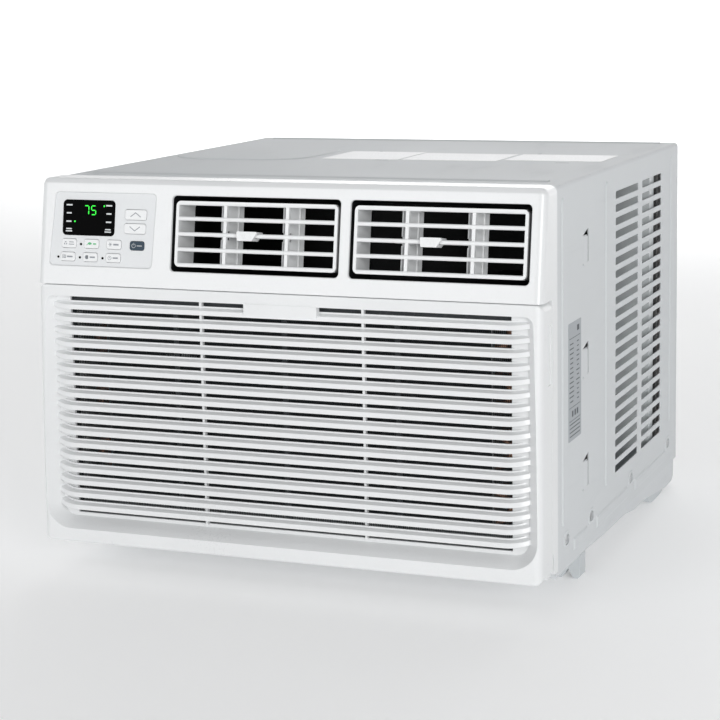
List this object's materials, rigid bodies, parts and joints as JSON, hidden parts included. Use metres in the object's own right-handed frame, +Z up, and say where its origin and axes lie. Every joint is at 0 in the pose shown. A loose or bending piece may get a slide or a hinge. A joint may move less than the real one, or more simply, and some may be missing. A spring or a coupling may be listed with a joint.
{
  "type": "window air conditioner",
  "caption": "Boxy window room cooler with a slatted intake panel that tips open, tilting outlet louvres with turning vanes, a key pad with display, and a vented steel cabinet.",
  "frame": {"origin": "on the floor under the middle of the unit's bounding box", "axes": "+Z up, room side (intake panel and outlets) faces -Y, +X to the right of someone who looks at the room side"},
  "size_m": [0.483, 0.514, 0.368],
  "materials": {
    "white_enamel": "satin enamel on pressed sheet steel",
    "galvanised_pan": "light grey coated steel",
    "grey_foot": "grey moulded plastic",
    "zinc_screw": "bright zinc plate",
    "white_plastic": "white satin moulded plastic",
    "dark_plastic": "dark grey moulded plastic",
    "fascia_plastic": "pale grey satin",
    "button_plastic": "white satin",
    "power_plastic": "dark slate",
    "display_black": "smoked window",
    "lit_green": "lit green",
    "label_paper": "blank label",
    "circuit_green": "circuit board",
    "galvanised_sheet": "galvanised sheet",
    "fin_aluminium": "thin aluminium fins",
    "copper_tube": "bare copper",
    "black_enamel": "black paint",
    "black_rubber": "rubber",
    "light_grey_plastic": "light grey moulded plastic",
    "steel_shaft": "ground steel",
    "filter_net": "fine plastic net"
  },
  "bodies": {
    "chassis": {"cabinet_top": "white_enamel", "cabinet_left_side": "white_enamel", "cabinet_right_side": "white_enamel", "cabinet_rear_rim": "white_enamel", "base_pan": "galvanised_pan", "pan_left_flange": "galvanised_pan", "pan_right_flange": "galvanised_pan", "front_feet": "grey_foot", "rear_feet": "grey_foot", "cabinet_screws": "zinc_screw", "front_bezel": "white_plastic", "outlet_ducts": "dark_plastic", "control_fascia": "fascia_plastic", "display_window": "display_black", "display_digits": "lit_green", "indicator_lamps": "display_black", "rating_label": "label_paper", "top_labels": "label_paper", "control_board": "circuit_green", "control_box": "galvanised_sheet", "run_capacitor": "galvanised_sheet", "evaporator_fins": "fin_aluminium", "evaporator_tubes": "copper_tube", "condenser_fins": "fin_aluminium", "condenser_tubes": "copper_tube", "rear_guard": "galvanised_pan", "compressor_shell": "black_enamel", "compressor_mounts": "black_rubber", "fan_motor": "galvanised_sheet", "motor_bracket": "galvanised_sheet", "blower_housing": "dark_plastic", "bulkhead": "galvanised_sheet", "condenser_shroud": "light_grey_plastic", "suction_tube": "copper_tube", "discharge_tube": "copper_tube", "capillary_tube": "copper_tube", "filter_drier": "copper_tube", "air_sensor": "light_grey_plastic", "cord_gland": "black_rubber", "grille_hinge_pins": "zinc_screw"},
    "intake_panel": {"intake_grille": "white_plastic", "filter_frame": "light_grey_plastic", "filter_mesh": "filter_net"},
    "fan_rotor": {"motor_shaft": "steel_shaft", "blower_wheel": "light_grey_plastic", "condenser_fan": "light_grey_plastic"},
    "raise_key": {"raise_button": "button_plastic"},
    "lower_key": {"lower_button": "button_plastic"},
    "power_key": {"power_button": "power_plastic"},
    "fan_key": {"fan_button": "button_plastic"},
    "saver_key": {"saver_button": "button_plastic"},
    "mode_key": {"mode_button": "button_plastic"},
    "filter_key": {"filter_button": "button_plastic"},
    "night_key": {"night_button": "button_plastic"},
    "timer_key": {"timer_button": "button_plastic"},
    "left_louver": {"left_louver_frame": "white_plastic"},
    "left_slider": {"left_vane_slider": "white_plastic"},
    "left_left_vane_body": {"left_left_vane": "white_plastic"},
    "left_right_vane_body": {"left_right_vane": "white_plastic"},
    "right_louver": {"right_louver_frame": "white_plastic"},
    "right_slider": {"right_vane_slider": "white_plastic"},
    "right_left_vane_body": {"right_left_vane": "white_plastic"},
    "right_right_vane_body": {"right_right_vane": "white_plastic"}
  },
  "joints": [
    {"name": "intake_panel_hinge", "type": "hinge", "parent": "chassis", "child": "intake_panel", "pos_m": [0, -0.226, 0.035], "axis": [1, 0, 0], "range_deg": [0, 40]},
    {"name": "fan_spin", "type": "hinge", "parent": "chassis", "child": "fan_rotor", "pos_m": [0.04, 0, 0.165], "axis": [0, 1, 0], "continuous": true},
    {"name": "raise_press", "type": "slide", "parent": "chassis", "child": "raise_key", "axis": [0, 0.9869, -0.1614], "range_m": [0, 0.0008], "stiffness_N_per_m": 600, "springref_m": -0.0008},
    {"name": "lower_press", "type": "slide", "parent": "chassis", "child": "lower_key", "axis": [0, 0.9869, -0.1614], "range_m": [0, 0.0008], "stiffness_N_per_m": 600, "springref_m": -0.0008},
    {"name": "power_press", "type": "slide", "parent": "chassis", "child": "power_key", "axis": [0, 0.9869, -0.1614], "range_m": [0, 0.0008], "stiffness_N_per_m": 600, "springref_m": -0.0008},
    {"name": "fan_press", "type": "slide", "parent": "chassis", "child": "fan_key", "axis": [0, 0.9869, -0.1614], "range_m": [0, 0.0008], "stiffness_N_per_m": 600, "springref_m": -0.0008},
    {"name": "saver_press", "type": "slide", "parent": "chassis", "child": "saver_key", "axis": [0, 0.9869, -0.1614], "range_m": [0, 0.0008], "stiffness_N_per_m": 600, "springref_m": -0.0008},
    {"name": "mode_press", "type": "slide", "parent": "chassis", "child": "mode_key", "axis": [0, 0.9869, -0.1614], "range_m": [0, 0.0008], "stiffness_N_per_m": 600, "springref_m": -0.0008},
    {"name": "filter_press", "type": "slide", "parent": "chassis", "child": "filter_key", "axis": [0, 0.9869, -0.1614], "range_m": [0, 0.0008], "stiffness_N_per_m": 600, "springref_m": -0.0008},
    {"name": "night_press", "type": "slide", "parent": "chassis", "child": "night_key", "axis": [0, 0.9869, -0.1614], "range_m": [0, 0.0008], "stiffness_N_per_m": 600, "springref_m": -0.0008},
    {"name": "timer_press", "type": "slide", "parent": "chassis", "child": "timer_key", "axis": [0, 0.9869, -0.1614], "range_m": [0, 0.0008], "stiffness_N_per_m": 600, "springref_m": -0.0008},
    {"name": "left_louver_tilt", "type": "hinge", "parent": "chassis", "child": "left_louver", "pos_m": [-0.0246, -0.22424, 0.31818], "axis": [1, 0, 0], "range_deg": [-20, 20]},
    {"name": "left_slider_move", "type": "slide", "parent": "left_louver", "child": "left_slider", "axis": [1, 0, 0], "range_m": [-0.0015, 0.0153]},
    {"name": "left_left_vane_turn", "type": "hinge", "parent": "left_louver", "child": "left_left_vane_body", "pos_m": [-0.0546, -0.2124, 0.31625], "axis": [0, 0.1614, 0.9869], "range_deg": [-5.6, 54.4]},
    {"name": "left_right_vane_turn", "type": "hinge", "parent": "left_louver", "child": "left_right_vane_body", "pos_m": [0.0054, -0.2124, 0.31625], "axis": [0, 0.1614, 0.9869], "range_deg": [-5.6, 54.4]},
    {"name": "right_louver_tilt", "type": "hinge", "parent": "chassis", "child": "right_louver", "pos_m": [0.1476, -0.22424, 0.31818], "axis": [1, 0, 0], "range_deg": [-20, 20]},
    {"name": "right_slider_move", "type": "slide", "parent": "right_louver", "child": "right_slider", "axis": [1, 0, 0], "range_m": [-0.0015, 0.0153]},
    {"name": "right_left_vane_turn", "type": "hinge", "parent": "right_louver", "child": "right_left_vane_body", "pos_m": [0.1176, -0.2124, 0.31625], "axis": [0, 0.1614, 0.9869], "range_deg": [-5.6, 54.4]},
    {"name": "right_right_vane_turn", "type": "hinge", "parent": "right_louver", "child": "right_right_vane_body", "pos_m": [0.1776, -0.2124, 0.31625], "axis": [0, 0.1614, 0.9869], "range_deg": [-5.6, 54.4]}
  ],
  "couplings": [
    {"joint": "left_left_vane_turn", "follows": "left_slider_move", "rad_per_m": 61.6},
    {"joint": "left_right_vane_turn", "follows": "left_slider_move", "rad_per_m": 61.6},
    {"joint": "right_left_vane_turn", "follows": "right_slider_move", "rad_per_m": 61.6},
    {"joint": "right_right_vane_turn", "follows": "right_slider_move", "rad_per_m": 61.6}
  ]
}
